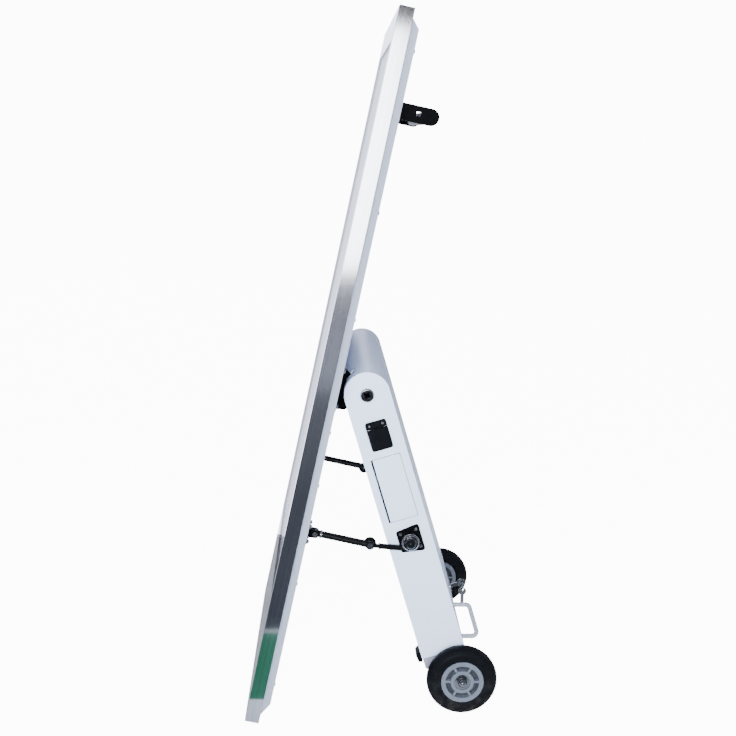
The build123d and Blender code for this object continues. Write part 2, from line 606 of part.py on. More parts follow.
def build_leg():
    plate = side_plate()
    door_hole = block(SIDE - 5, SIDE + 5, DOOR_FRONT, DOOR_REAR, -DOOR_LOW, -DOOR_TOP)
    inlet_hole = block(SIDE - 5, SIDE + 5, -12, 12, -92, -68)
    add_leg("right_side_plate", plate - door_hole - inlet_hole)
    add_leg("left_side_plate", mirror(plate, about=Plane.YZ))
    add_leg("front_wrap", front_wrap())
    add_leg("foot_plate", foot_plate())
    add_leg("battery_shelf", shelf())
    add_leg("battery_pack", battery())
    add_leg("charger_case", charger())
    add_leg("hinge_shaft", rod_x(-SIDE + 0.1, SIDE - 0.1, SHAFT_R))
    add_leg("pivot_caps", both(pivot_cap()))
    pin, port_screws = port_parts()
    add_leg("hinge_pins", group([door_lug(), pin, rear_pins()]))
    add_leg("battery_door", battery_door())
    add_leg("lock_plates", both(lock_plate()))
    add_leg("leg_screws", group([both(lock_screws()), port_screws]))
    add_leg("rear_door", rear_door())
    add_leg("rear_bar", rear_bar())
    add_leg("cam_lock", cam_lock())
    add_leg("lock_key", lock_key())
    add_leg("bumpers", both(bumper()))
    add_leg("axle_brackets", both(axle_bracket()))
    add_leg("axle", axle())
    add_leg("axle_nuts", both(axle_nut()))


# ---- hanging spare key ----
RING_R = 5.5
WIRE_R = 0.8
BOW_HOLE = 2.6
REST_GAP = 0.05


def spare_key():
    """A ring hanging in the lock key's bow, and a second key hanging from the ring."""
    bow = (leg_at * Pos(0, LEG_R + 27, -LOCK_ROW)).position
    top = bow.Z - BOW_HOLE + WIRE_R + REST_GAP
    ring = Pos(0, bow.Y, top - RING_R) * Rot(90, 0, 0) * Torus(RING_R, WIRE_R)
    hole = top - 2 * RING_R - BOW_HOLE + WIRE_R + REST_GAP
    key = Pos(0, bow.Y, hole - 4) * Rot(0, 90, 0) * Cylinder(BOW_R, KEY_T)
    key += Pos(0, bow.Y, hole - 20) * Box(KEY_T, 6.8, 20)
    key -= Pos(0, bow.Y, hole) * Rot(0, 90, 0) * Cylinder(BOW_HOLE, 6)
    return ring, key, top


# ---- wheels ----
HUB_R = 37.5
HUB_SEAT = 10.0            # where the axle nut sits, out from the wheel's middle


def tyre():
    """A fat round tyre with a flat seat on the hub."""
    half = WHEEL_W / 2
    shoulder = WHEEL_R - 15
    profile = Polyline((0, HUB_R, half - 1.5), (0, HUB_R, -half + 1.5)).edges()
    side_low = Line((0, HUB_R, -half + 1.5), (0, shoulder, -half))
    crown = ThreePointArc((0, shoulder, -half), (0, WHEEL_R, 0), (0, shoulder, half))
    side_high = Line((0, shoulder, half), (0, HUB_R, half - 1.5))
    face = make_face([*profile, side_low, crown, side_high])
    return Rot(0, 90, 0) * revolve(face, axis=Axis.Z)


def hub():
    """A moulded hub: rim, web, six ribs and a recessed boss."""
    half = WHEEL_W / 2 - 1.5
    body = rod_x(-half, half, HUB_R) - rod_x(-half - 1, half + 1, 29.5)
    body += rod_x(-3, 3, 30)
    body += rod_x(-half, half, 20.5)
    for turn in range(6):
        rib = block(-half + 2, half - 2, -2, 2, 19, 31)
        body += Rot(60 * turn + 30, 0, 0) * rib
    body -= rod_x(HUB_SEAT, half + 1, 14.5)
    body -= rod_x(-half - 1, half + 1, AXLE_R + RUN)
    return body


def build_wheels():
    for name, side in (("right", 1), ("left", -1)):
        turn = Rot(0, 0, 0) if side > 0 else Rot(0, 180, 0)
        place = Pos(side * WHEEL_X, axle_row.Y, axle_row.Z)
        nodes[name + "_tyre"] = place * turn * tyre()
        nodes[name + "_hub"] = place * turn * hub()


# ---- stays ----
def lower_joint(a, b, reach_a, reach_b):
    """The lower of the two points at the given distances from a and b, in YZ."""
    gap = math.dist(a, b)
    along = (reach_a ** 2 - reach_b ** 2 + gap ** 2) / (2 * gap)
    off = math.sqrt(reach_a ** 2 - along ** 2)
    uy, uz = (b[0] - a[0]) / gap, (b[1] - a[1]) / gap
    options = [(a[0] + along * uy + s * off * uz, a[1] + along * uz - s * off * uy) for s in (-1, 1)]
    return min(options, key=lambda point: point[1])


def display_yz(back, up):
    point = (display_at * Pos(0, back, up)).position
    return (point.Y, point.Z)


def leg_yz(back, down, fold=0.0):
    angle = lean - math.radians(fold)
    y = hinge_row.Y + down * math.sin(angle) + back * math.cos(angle)
    z = hinge_row.Z - down * math.cos(angle) + back * math.sin(angle)
    return (y, z)


stay_a = display_yz(STAY_BACK, STAY_UP)
stay_b = leg_yz(0, STAY_DOWN)
stay_k = lower_joint(stay_a, stay_b, STAY_FRONT, STAY_REAR)
folded_b = leg_yz(0, STAY_DOWN, FOLD)
folded_k = lower_joint(stay_a, folded_b, STAY_FRONT, STAY_REAR)


def heading(p, q):
    return math.degrees(math.atan2(q[1] - p[1], q[0] - p[0]))


front_turn = heading(stay_a, folded_k) - heading(stay_a, stay_k)
rear_turn = heading(folded_k, folded_b) - heading(stay_k, stay_b) - front_turn
while rear_turn < -180:
    rear_turn += 360
while rear_turn > 180:
    rear_turn -= 360


def front_link():
    """A round tube with an eye at the display end and a flat tongue at the knuckle."""
    a, k = stay_a, stay_k
    length = math.dist(a, k)
    uy, uz = (k[0] - a[0]) / length, (k[1] - a[1]) / length

    def at(distance, x=STAY_X):
        return (x, a[0] + uy * distance, a[1] + uz * distance)
    eye = TUBE_R + 0.15
    link = bar_between(at(2), at(length - 2), TUBE_R)
    link += rod_x(STAY_X - eye, STAY_X + eye, 6.5, *a)
    link += rod_x(STAY_X - eye, STAY_X + eye, 7.5, *k)
    link -= rod_x(STAY_X - 12, STAY_X + 12, 2.5 + RUN, *a)
    link -= rod_x(STAY_X - 12, STAY_X + 12, 3.0 + RUN, *k)
    return link


def link_ring():
    """The bright collar just behind the front eye."""
    a, k = stay_a, stay_k
    length = math.dist(a, k)
    uy, uz = (k[0] - a[0]) / length, (k[1] - a[1]) / length
    p = (STAY_X, a[0] + uy * 8.6, a[1] + uz * 8.6)
    q = (STAY_X, a[0] + uy * 11.6, a[1] + uz * 11.6)
    return bar_between(p, q, TUBE_R + 1.2) - bar_between(p, (q[0], q[1] + uy, q[2] + uz), TUBE_R)


def rear_link():
    """A flat bar from the knuckle that runs in under the round eye of the rear pivot."""
    k, b = stay_k, stay_b
    x0, x1 = LINK_X, LINK_X + LINK_T
    length = math.dist(k, b)
    uy, uz = (b[0] - k[0]) / length, (b[1] - k[1]) / length

    def strip(s0, s1, half):
        """A stretch of the bar, whose middle line drops away from the line of the pivots."""
        points = []
        for s, edge in ((s0, -half), (s1, -half), (s1, half), (s0, half)):
            drop = 4.5 + 6.0 * s / length + edge
            points.append((k[0] + uy * s + uz * drop, k[1] + uz * s - uy * drop))
        return plate_yz(points, x0, x1)
    link = strip(0, 17, 3.4) + strip(15.5, 18, 5.6) + strip(17, length, 4.6)
    link += rod_x(x0, x1, 10.8, *k)
    link += rod_x(x0, x1, 15.5, *b)
    return link - rod_x(x0 - 1, x1 + 1, 3.0, *k)


def knuckle_rivet():
    """The headed rivet that pins the two links together."""
    k = stay_k
    end = STAY_X + TUBE_R + 0.4
    return rod_x(LINK_X + 0.2, end, 3.0, *k) + rod_x(end, end + 1.8, 5.0, *k)


def stay_knob():
    """A domed knob over the rear pivot."""
    b = stay_b
    x = LINK_X + LINK_T
    base = rod_x(x, x + 3, 14.0, *b)
    base = chamfer(base.faces().sort_by(Axis.X)[-1].edges(), 1)
    dome = Pos(x + 3, *b) * Sphere(10.2)
    dome &= rod_x(x + 3, x + 20, 12, *b)
    return base + dome


def build_stays():
    pieces = (("front_link", front_link()), ("link_ring", link_ring()), ("rear_link", rear_link()),
              ("stay_knob_and_rivet", group([stay_knob(), knuckle_rivet()])))
    for name, shape in pieces:
        nodes["right_" + name] = shape
        nodes["left_" + name] = mirror(shape, about=Plane.YZ)


def main():
    build_display()
    build_leg()
    build_wheels()
    build_stays()
    ring, key, swing_z = spare_key()
    nodes["key_ring"] = ring
    nodes["spare_key"] = key
    os.makedirs("parts", exist_ok=True)
    for name, shape in nodes.items():
        export_step(shape, "parts/" + name + ".step")
    print("nodes", len(nodes), "key ring swings at z", swing_z)
    print("hinge", hinge_row, "axle", axle_row, "wheel x", WHEEL_X)
    print("stay a k b", stay_a, stay_k, stay_b, "x", STAY_X)
    print("fold", FOLD, "front link turn", front_turn, "rear link turn", rear_turn)


if __name__ == "__main__":
    main()
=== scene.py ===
"""Surfaces, soft edges and studio for a wheeled battery A-board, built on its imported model."""
import json
import math

import bmesh
import bpy
from bpy.props import FloatProperty, FloatVectorProperty, PointerProperty
from mathutils import Matrix, Vector


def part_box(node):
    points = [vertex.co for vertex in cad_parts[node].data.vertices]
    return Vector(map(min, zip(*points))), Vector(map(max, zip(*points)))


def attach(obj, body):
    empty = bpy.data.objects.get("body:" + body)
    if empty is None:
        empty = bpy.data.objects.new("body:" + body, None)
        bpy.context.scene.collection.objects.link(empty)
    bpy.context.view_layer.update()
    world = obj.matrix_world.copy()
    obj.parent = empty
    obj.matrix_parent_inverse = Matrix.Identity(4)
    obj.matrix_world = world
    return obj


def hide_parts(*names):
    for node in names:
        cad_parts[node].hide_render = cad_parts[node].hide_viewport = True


bl_info = {
    "name": "Wheeled A-Board",
    "version": (1, 0, 0),
    "blender": (4, 5, 0),
    "location": "View3D > Sidebar > A-Board",
    "description": "Finishes a wheeled battery A-board and sets up its studio",
    "category": "Object",
}

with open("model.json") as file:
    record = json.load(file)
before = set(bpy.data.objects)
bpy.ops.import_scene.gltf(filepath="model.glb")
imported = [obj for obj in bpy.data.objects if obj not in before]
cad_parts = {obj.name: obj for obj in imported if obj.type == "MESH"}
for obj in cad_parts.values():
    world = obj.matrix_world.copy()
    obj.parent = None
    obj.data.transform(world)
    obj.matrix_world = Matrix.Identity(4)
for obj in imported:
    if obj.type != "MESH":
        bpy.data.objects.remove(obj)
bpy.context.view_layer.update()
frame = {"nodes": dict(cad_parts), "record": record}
nodes = frame["nodes"]
bodies = frame["record"]["behaviour"]["bodies"]
slots = {entry["node"]: entry["material_slot"] for entry in frame["record"]["subparts"]}
joints = {joint["name"]: joint for joint in frame["record"]["behaviour"]["joints"]}
body_of_node = {node: body for body, members in bodies.items() for node in members}

TILT = math.radians(11.5)          # the display leans back by this much
REAR_PIVOT = (0.06368, 0.309822)   # y and z of the axis where a stay meets the leg box
KNOB_FACE = 0.0126                 # radius of the knob's lacquered face; outside it plating is painted as the rim's edge highlight, and the rivet is plated
KNOB_LINE_HIGHLIGHT = (0.0098, 0.0104)       # radii of the bright line painted round its dome as its edge highlight
EYE_RIM_HIGHLIGHT = (0.0149, 0.0158)         # radii of the bright band painted on the stay's eye rim as its edge highlight
CAP_FACE = 0.0096                  # radius inside the pivot cap's bright rim
CAP_PIT_SHADE = 0.0085                   # radius of the cap's recess, which is painted near black as painted shade
CAP_PIT_SHADE_X = 0.2352                 # the painted shade of the recess lies inside this distance across
HUB_WEB = 0.0036                   # half the thickness of the hub's web, with its skin
HUB_POCKET_SHADE = (0.0204, 0.0297)     # radii of the pockets round the hub's boss, painted darker as painted shade
SHOULDER = 0.015                   # radius of the tyre's round shoulders
TYRE_TURNS = 144                   # facets round a tyre
BEVEL_SEGMENTS = 2
BEVEL_ANGLE = math.radians(28.0)   # an edge sharper than this is rounded
WELD = 0.00001                     # points nearer than this become one
FLAT = math.radians(1.0)           # faces that meet flatter than this become one


# ---------------------------------------------------------------- settings
class ABoardFinish(bpy.types.PropertyGroup):
    """Colours and finishes that a user would change."""
    paint: FloatVectorProperty(
        name="Paint", description="Powder coat on the rear shell and leg box", subtype="COLOR",
        size=3, min=0, max=1, default=(0.68, 0.77, 0.98))
    # painted shade: the shell's coat is greyer than the paint, standing in for the shade on its
    # back-facing walls
    shell: FloatVectorProperty(
        name="Shell paint", description="Greyer powder coat on the display's rear shell",
        subtype="COLOR", size=3, min=0, max=1, default=(0.46, 0.50, 0.60))
    metal: FloatVectorProperty(
        name="Frame metal", description="Brushed metal of the display frame", subtype="COLOR",
        size=3, min=0, max=1, default=(0.80, 0.82, 0.88))
    black: FloatVectorProperty(
        name="Black steel", description="Powder coat on brackets, stays and handle", subtype="COLOR",
        size=3, min=0, max=1, default=(0.0016, 0.0016, 0.0020))
    rubber: FloatVectorProperty(
        name="Rubber", description="Tyres, bumpers, flap and soles", subtype="COLOR",
        size=3, min=0, max=1, default=(0.0018, 0.0020, 0.0027))
    hub: FloatVectorProperty(
        name="Hub plastic", description="Moulded plastic of the wheel hubs", subtype="COLOR",
        size=3, min=0, max=1, default=(0.105, 0.120, 0.150))
    bar: FloatVectorProperty(
        name="Rear bar paint", description="Paint on the rear bar and axle brackets", subtype="COLOR",
        size=3, min=0, max=1, default=(0.27, 0.28, 0.34))
    metal_roughness: FloatProperty(
        name="Frame roughness", description="Gloss of the brushed frame", subtype="FACTOR",
        min=0.04, max=1, default=0.08)


class ABoardShape(bpy.types.PropertyGroup):
    """Edge and tread sizes."""
    sheet_edge: FloatProperty(
        name="Sheet edge", description="Rounding on folded sheet metal", unit="LENGTH",
        min=0.0001, max=0.002, default=0.0007)
    plate_edge: FloatProperty(
        name="Plate edge", description="Rounding on brackets and plates", unit="LENGTH",
        min=0.0001, max=0.002, default=0.0005)
    tread_line: FloatProperty(
        name="Tyre line depth", description="Depth of the moulded lines on the tyres", unit="LENGTH",
        min=0, max=0.002, default=0.0006)


class ABoardStudio(bpy.types.PropertyGroup):
    """Camera and light."""
    camera_distance: FloatProperty(
        name="Camera distance", description="Camera to the middle of the board, across it",
        unit="LENGTH", default=2.220)
    camera_height: FloatProperty(
        name="Camera height", description="Height of the lens above the floor", unit="LENGTH",
        default=1.0112)
    camera_side: FloatProperty(
        name="Camera offset", description="Offset of the camera towards the back", unit="LENGTH",
        default=-0.0718)
    camera_pitch: FloatProperty(
        name="Camera pitch", description="How far the camera looks down", subtype="ANGLE",
        default=math.radians(11.197))
    camera_yaw: FloatProperty(
        name="Camera yaw", description="How far the camera turns to the back", subtype="ANGLE",
        default=math.radians(1.625))
    camera_roll: FloatProperty(
        name="Camera roll", description="Tilt of the horizon", subtype="ANGLE",
        default=math.radians(0.936))
    lens: FloatProperty(name="Lens", description="Focal length", unit="CAMERA", default=58.63)
    sky: FloatProperty(name="Fill light", description="Strength of the soft surround",
                       min=0, max=5, default=1.0)
    key: FloatProperty(name="Key light", description="Power of the light on the board's side",
                       min=0, max=900, default=420.0)
    backdrop: FloatProperty(name="Backdrop", description="Brightness of the plain white backdrop",
                            min=0, max=20, default=12.0)


# ---------------------------------------------------------------- shader maths
class Wire:
    """A shader socket that takes part in Python expressions."""

    def __init__(self, graph, socket):
        self.graph = graph
        self.socket = socket

    def _maths(self, operation, *values):
        node = self.graph.node("ShaderNodeMath", {"operation": operation}, dict(enumerate(values)))
        return self.graph.wire(node, 0)

    def __add__(self, other):
        return self._maths("ADD", self, other)

    def __radd__(self, other):
        return self._maths("ADD", other, self)

    def __sub__(self, other):
        return self._maths("SUBTRACT", self, other)

    def __rsub__(self, other):
        return self._maths("SUBTRACT", other, self)

    def __mul__(self, other):
        return self._maths("MULTIPLY", self, other)

    def __rmul__(self, other):
        return self._maths("MULTIPLY", other, self)

    def __pow__(self, other):
        return self._maths("POWER", self, other)

    def __gt__(self, other):
        return self._maths("GREATER_THAN", self, other)

    def __lt__(self, other):
        return self._maths("LESS_THAN", self, other)

    def __abs__(self):
        return self._maths("ABSOLUTE", self)

    def smooth(self, low, high):
        """0 below low and 1 above high, with a smooth step between."""
        node = self.graph.node("ShaderNodeMapRange", {"interpolation_type": "SMOOTHSTEP"},
                               {"Value": self, "From Min": low, "From Max": high})
        return self.graph.wire(node, "Result")


class Nodes:
    """A node tree and the one way that nodes are added to it."""

    def __init__(self, tree):
        self.tree = tree

    def wire(self, node, output=0):
        return Wire(self, node.outputs[output])

    def node(self, kind, settings=None, inputs=None):
        """A node of that type, with its settings first and then its sockets."""
        node = self.tree.nodes.new(kind)
        for key, value in (settings or {}).items():
            if key == "stops":
                ramp = node.color_ramp
                while len(ramp.elements) < len(value):
                    ramp.elements.new(0.5)
                for element, (place, shade) in zip(ramp.elements, value):
                    element.position = place
                    element.color = (*shade, 1)
            else:
                setattr(node, key, value)
        for key, value in (inputs or {}).items():
            if isinstance(value, Wire):
                self.tree.links.new(value.socket, node.inputs[key])
            else:
                node.inputs[key].default_value = value
        return node


class Graph(Nodes):
    """A new material and the short forms its recipe is written in."""

    def __init__(self, name, constants=None):
        self.material = bpy.data.materials.new(name)
        self.material.use_nodes = True
        super().__init__(self.material.node_tree)
        self.shader = self.tree.nodes["Principled BSDF"]
        for socket, value in (constants or {}).items():
            self.shader.inputs[socket].default_value = value

    def place(self, turn=0.0, scale=(1, 1, 1)):
        """Coordinates of the row frame, turned about X and scaled."""
        coordinates = self.node("ShaderNodeTexCoord")
        mapping = self.node("ShaderNodeMapping", {}, {
            "Vector": self.wire(coordinates, "Object"), "Rotation": (turn, 0, 0)})
        stretched = self.node("ShaderNodeVectorMath", {"operation": "MULTIPLY"}, {
            0: self.wire(mapping), 1: scale})
        return self.wire(stretched)

    def axes(self, vector):
        """The x, y and z of a vector."""
        split = self.node("ShaderNodeSeparateXYZ", {}, {0: vector})
        return [self.wire(split, axis) for axis in range(3)]

    def noise(self, vector, scale, detail=3.0, roughness=0.5):
        node = self.node("ShaderNodeTexNoise", {}, {
            "Vector": vector, "Scale": scale, "Detail": detail, "Roughness": roughness})
        return self.wire(node, 0)

    def cells(self, vector, scale):
        node = self.node("ShaderNodeTexVoronoi", {"feature": "F1"}, {"Vector": vector, "Scale": scale})
        return self.wire(node, "Distance")

    def mix(self, factor, low, high):
        """A colour between two colours."""
        low = (*low, 1) if isinstance(low, tuple) else low
        high = (*high, 1) if isinstance(high, tuple) else high
        node = self.node("ShaderNodeMix", {"data_type": "RGBA"}, {0: factor, 6: low, 7: high})
        return self.wire(node, 2)

    def bump(self, height, distance, strength=1.0):
        node = self.node("ShaderNodeBump", {}, {
            "Height": height, "Distance": distance, "Strength": strength})
        self.link("Normal", self.wire(node))

    def link(self, socket, wire):
        self.tree.links.new(wire.socket, self.shader.inputs[socket])


def shade(colour, amount):
    """The same colour, lighter or darker."""
    return tuple(min(1.0, channel * amount) for channel in colour)


# ---------------------------------------------------------------- finishes
def finish():
    return bpy.context.scene.aboard_finish


def brushed_frame(name, across):
    """Aluminium brushed lengthwise, with long fine streaks and soft cloudy stains."""
    look = finish()
    scale = (4, 1500, 1500) if across else (1500, 1500, 4)
    g = Graph(name, {"Metallic": 1.0})
    streaks = g.noise(g.place(TILT, scale), 1.0, 4.0, 0.7)
    long_streaks = g.noise(g.place(TILT, tuple(0.25 * s for s in scale)), 1.0, 2.0, 0.6)
    clouds = g.noise(g.place(TILT), 9.0, 3.0, 0.6)
    tone = 0.55 * streaks + 0.3 * long_streaks + 0.15 * clouds
    metal = tuple(look.metal)
    g.link("Base Color", g.mix(tone.smooth(0.25, 0.75), shade(metal, 0.72), shade(metal, 1.12)))
    g.link("Roughness", (look.metal_roughness - 0.03) + 0.04 * streaks + 0.02 * clouds)
    g.bump(0.6 * streaks + 0.4 * long_streaks, 0.00002, 0.5)
    return g.material


def powder_coat(name, colour, roughness=0.38, peel=0.00005):
    """Baked powder paint: fine orange peel, faint cloudiness and dusty lower parts."""
    g = Graph(name)
    place = g.place()
    peel_height = g.noise(place, 750.0, 2.0, 0.5)
    fine = g.cells(place, 1600.0)
    clouds = g.noise(place, 6.0, 4.0, 0.6)
    scuffs = g.noise(g.place(0.3, (14, 60, 3)), 4.0, 6.0, 0.75).smooth(0.66, 0.8)
    low = 1 - g.axes(place)[2].smooth(0.03, 0.30)
    dust = low * g.noise(place, 25.0, 5.0, 0.7).smooth(0.35, 0.75)
    tone = g.mix(clouds, shade(colour, 0.97), shade(colour, 1.03))
    scuffed = g.mix(0.10 * scuffs, tone, shade(colour, 0.7))
    g.link("Base Color", g.mix(0.16 * dust, scuffed, shade(colour, 0.62)))
    g.link("Roughness", roughness + 0.06 * clouds + 0.10 * dust + 0.08 * scuffs)
    g.bump(0.8 * peel_height + 0.2 * fine, peel, 0.7)
    return g.material


def textured_black(name, colour):
    """Black powder coat with a gritty texture that greys on worn spots."""
    g = Graph(name, {"Specular IOR Level": 0.03})
    place = g.place()
    grit = g.cells(place, 1900.0)
    peel = g.noise(place, 900.0, 3.0, 0.6)
    worn = g.noise(place, 55.0, 6.0, 0.75).smooth(0.60, 0.78)
    g.link("Base Color", g.mix(0.30 * worn + 0.1 * peel, colour, shade(colour, 3.0)))
    g.link("Roughness", 0.36 + 0.12 * peel - 0.08 * worn)
    g.bump(0.5 * grit + 0.5 * peel, 0.00008, 0.8)
    return g.material


def polished_steel(name, colour, roughness=0.10):
    """Bright plating with faint turning rings of wear and fingerprints."""
    g = Graph(name, {"Metallic": 1.0})
    place = g.place()
    prints = g.noise(place, 120.0, 4.0, 0.65)
    hairs = g.noise(g.place(0.7, (1500, 300, 300)), 1.0, 3.0, 0.7)
    g.link("Base Color", g.mix(prints, shade(colour, 0.86), shade(colour, 1.06)))
    g.link("Roughness", roughness + 0.10 * prints.smooth(0.45, 0.7) + 0.05 * hairs)
    g.bump(hairs, 0.00002, 0.4)
    return g.material


def away_from(g, axis_y, axis_z):
    """Distance from an axis that runs across the board."""
    y, z = g.axes(g.place())[1:]
    back, up = y - axis_y, z - axis_z
    return (back * back + up * up) ** 0.5


def turned_cap(name):
    """Dark plated bolt head with a bright turned rim; its lobed recess is painted near black as painted
    shade.
    """
    g = Graph(name, {"Metallic": 1.0})
    hinge = joint_place("leg_fold")
    place = g.place()
    x = g.axes(place)[0]
    away = away_from(g, hinge.y, hinge.z)
    prints = g.noise(place, 160.0, 4.0, 0.65)
    rim = away > CAP_FACE
    pit_shade = (abs(x) < CAP_PIT_SHADE_X) * (away < CAP_PIT_SHADE)
    metal = g.mix(prints, (0.10, 0.10, 0.12), (0.17, 0.17, 0.19))
    metal = g.mix(rim, metal, (0.62, 0.63, 0.66))
    # painted shade: the lobed recess is painted near black
    g.link("Base Color", g.mix(pit_shade, metal, (0.008, 0.008, 0.010)))
    g.link("Roughness", 0.09 + 0.12 * prints)
    g.bump(prints, 0.00002, 0.3)
    return g.material


def knob_with_painted_highlight(name):
    """Black lacquered knob with bright plated bands painted on as its edge highlights; the rivet beside
    it is plated.
    """
    g = Graph(name, {"Specular IOR Level": 0.25})
    away = away_from(g, *REAR_PIVOT)
    # painted highlight: plating on the line round the dome and outside the lacquered face stands in for
    # the knob's edge highlights
    black = (away < KNOB_FACE) * (1 - (away > KNOB_LINE_HIGHLIGHT[0]) * (away < KNOB_LINE_HIGHLIGHT[1]))
    prints = g.noise(g.place(), 140.0, 4.0, 0.65)
    plating_and_highlight = g.mix(prints, (0.60, 0.61, 0.63), (0.78, 0.78, 0.80))
    lacquer = g.mix(prints, (0.002, 0.002, 0.003), (0.005, 0.006, 0.007))
    g.link("Base Color", g.mix(black, plating_and_highlight, lacquer))
    g.link("Metallic", 1 - black)
    g.link("Roughness", 0.10 + 0.10 * prints)
    g.link("Coat Weight", 0.12 * black)
    g.bump(prints, 0.00002, 0.3)
    return g.material


def eye_with_painted_highlight(name, colour):
    """Gloss black link, mottled by wear, with a bright metal band on its eye's rim that is a painted edge
    highlight.
    """
    g = Graph(name, {"Specular IOR Level": 0.3})
    away = away_from(g, *REAR_PIVOT)
    place = g.place()
    wear_and_highlight = g.noise(place, 260.0, 5.0, 0.7)
    # painted highlight: a bright metal band round the eye's rim, broken up by the wear noise
    rim = (away > EYE_RIM_HIGHLIGHT[0]) * (away < EYE_RIM_HIGHLIGHT[1]) * wear_and_highlight.smooth(0.30, 0.50)
    g.link("Base Color", g.mix(rim, g.mix(wear_and_highlight, colour, shade(colour, 2.2)), (0.66, 0.67, 0.70)))
    g.link("Metallic", rim)
    g.link("Roughness", 0.26 + 0.10 * wear_and_highlight)
    g.bump(wear_and_highlight, 0.00003, 0.5)
    return g.material


def zinc(name, colour):
    """Zinc plated steel with spangle and a dull sheen."""
    g = Graph(name, {"Metallic": 1.0})
    place = g.place()
    spangle = g.cells(place, 220.0)
    clouds = g.noise(place, 40.0, 4.0, 0.6)
    g.link("Base Color", g.mix(0.5 * spangle + 0.5 * clouds, shade(colour, 0.75), shade(colour, 1.1)))
    g.link("Roughness", 0.30 + 0.18 * clouds)
    g.bump(clouds, 0.00003, 0.4)
    return g.material


def black_rubber(name, colour, roughness=0.52, gloss_bloom=0.10):
    """Moulded rubber: fine grain, a bloom of grey and slightly shinier rubbed parts."""
    g = Graph(name, {"Specular IOR Level": 0.06})
    place = g.place()
    grain = g.noise(place, 1300.0, 3.0, 0.6)
    bloom = g.noise(place, 30.0, 5.0, 0.65)
    dust = (1 - g.axes(place)[2].smooth(0.0, 0.10)) * g.noise(place, 60.0, 5.0, 0.7).smooth(0.4, 0.75)
    tone = g.mix(gloss_bloom * bloom, colour, (0.03, 0.032, 0.038))
    g.link("Base Color", g.mix(0.10 * dust, tone, (0.22, 0.20, 0.18)))
    g.link("Roughness", roughness - 0.10 * bloom + 0.12 * dust)
    g.bump(grain, 0.00006, 0.6)
    return g.material


def moulded_plastic(name, colour, roughness=0.45):
    """Injection moulded plastic with a spark-eroded skin and soft flow marks."""
    g = Graph(name)
    place = g.place()
    skin = g.noise(place, 1700.0, 2.0, 0.5)
    flow = g.noise(g.place(0.4, (10, 35, 35)), 2.0, 4.0, 0.6)
    g.link("Base Color", g.mix(flow, shade(colour, 0.90), shade(colour, 1.12)))
    g.link("Roughness", roughness + 0.10 * flow + 0.05 * skin)
    g.bump(skin, 0.00005, 0.6)
    return g.material


def moulded_hub(name, colour):
    """Hub plastic with painted shade: darker in the six deep pockets round the boss."""
    g = Graph(name)
    place = g.place()
    axle = joint_place("right_wheel_spin")
    x = g.axes(place)[0]
    away = away_from(g, axle.y, axle.z)
    pocket_shade = (abs(abs(x) - axle.x) < HUB_WEB) * (away > HUB_POCKET_SHADE[0]) * (away < HUB_POCKET_SHADE[1])
    skin = g.noise(place, 1700.0, 2.0, 0.5)
    flow = g.noise(g.place(0.4, (10, 35, 35)), 2.0, 4.0, 0.6)
    tone = g.mix(flow, shade(colour, 0.90), shade(colour, 1.12))
    # painted shade: the pockets round the boss are painted darker
    g.link("Base Color", g.mix(pocket_shade, tone, shade(colour, 0.28)))
    g.link("Roughness", 0.40 + 0.10 * flow + 0.05 * skin)
    g.bump(skin, 0.00005, 0.6)
    return g.material


def cover_glass(name):
    """Toughened glass: an inked black border and a smoked clear middle over the panel."""
    g = Graph(name, {"IOR": 1.52, "Coat Roughness": 0.03})
    x, _, z = g.axes(g.place(TILT))
    low, high = panel_box()
    clear = ((abs(x) < high[0]) * (z < high[2])) * (z > low[2])
    smudge = g.noise(g.place(TILT), 14.0, 5.0, 0.7).smooth(0.5, 0.8)
    g.link("Base Color", g.mix(clear, (0.006, 0.006, 0.008), (0.012, 0.014, 0.018)))
    g.link("Alpha", 1 - 0.75 * clear)
    g.link("Roughness", 0.035 + 0.07 * smudge)
    g.link("Coat Weight", 0.6 + 0.2 * smudge)
    return g.material


def panel_box():
    """Corners of the lit area in the leaning display's own axes."""
    turn = Matrix.Rotation(TILT, 3, "X")
    points = [turn @ vertex.co for vertex in nodes["lcd_panel"].data.vertices]
    margin = 0.004
    low = [min(point[axis] for point in points) + margin for axis in range(3)]
    high = [max(point[axis] for point in points) - margin for axis in range(3)]
    return low, high


def dark_panel(name):
    """A switched-off LCD: near black with a cool cast and a very fine grid of cells."""
    g = Graph(name)
    grid = g.cells(g.place(TILT, (1, 0, 1)), 1400.0)
    clouds = g.noise(g.place(TILT), 3.0, 3.0, 0.5)
    g.link("Base Color", g.mix(clouds, (0.006, 0.007, 0.010), (0.012, 0.014, 0.020)))
    g.link("Roughness", 0.20 + 0.06 * grid)
    g.bump(grid, 0.00001, 0.3)
    return g.material


def circuit_board(name):
    """Green solder mask with traces and pads."""
    g = Graph(name, {"Coat Weight": 0.4})
    place = g.place(TILT)
    brick = g.node("ShaderNodeTexBrick", {"offset": 0.5}, {
        "Vector": g.place(TILT - math.pi / 2, (1, 1, 1)), "Scale": 60.0, "Mortar Size": 0.03})
    traces = g.wire(brick, 1)
    pads = 1 - g.cells(place, 260.0).smooth(0.10, 0.18)
    mask = g.mix(traces, (0.02, 0.10, 0.045), (0.04, 0.18, 0.08))
    g.link("Base Color", g.mix(pads, mask, (0.45, 0.42, 0.34)))
    g.link("Roughness", 0.35 + 0.2 * traces)
    g.bump(traces, 0.00005, 0.5)
    return g.material


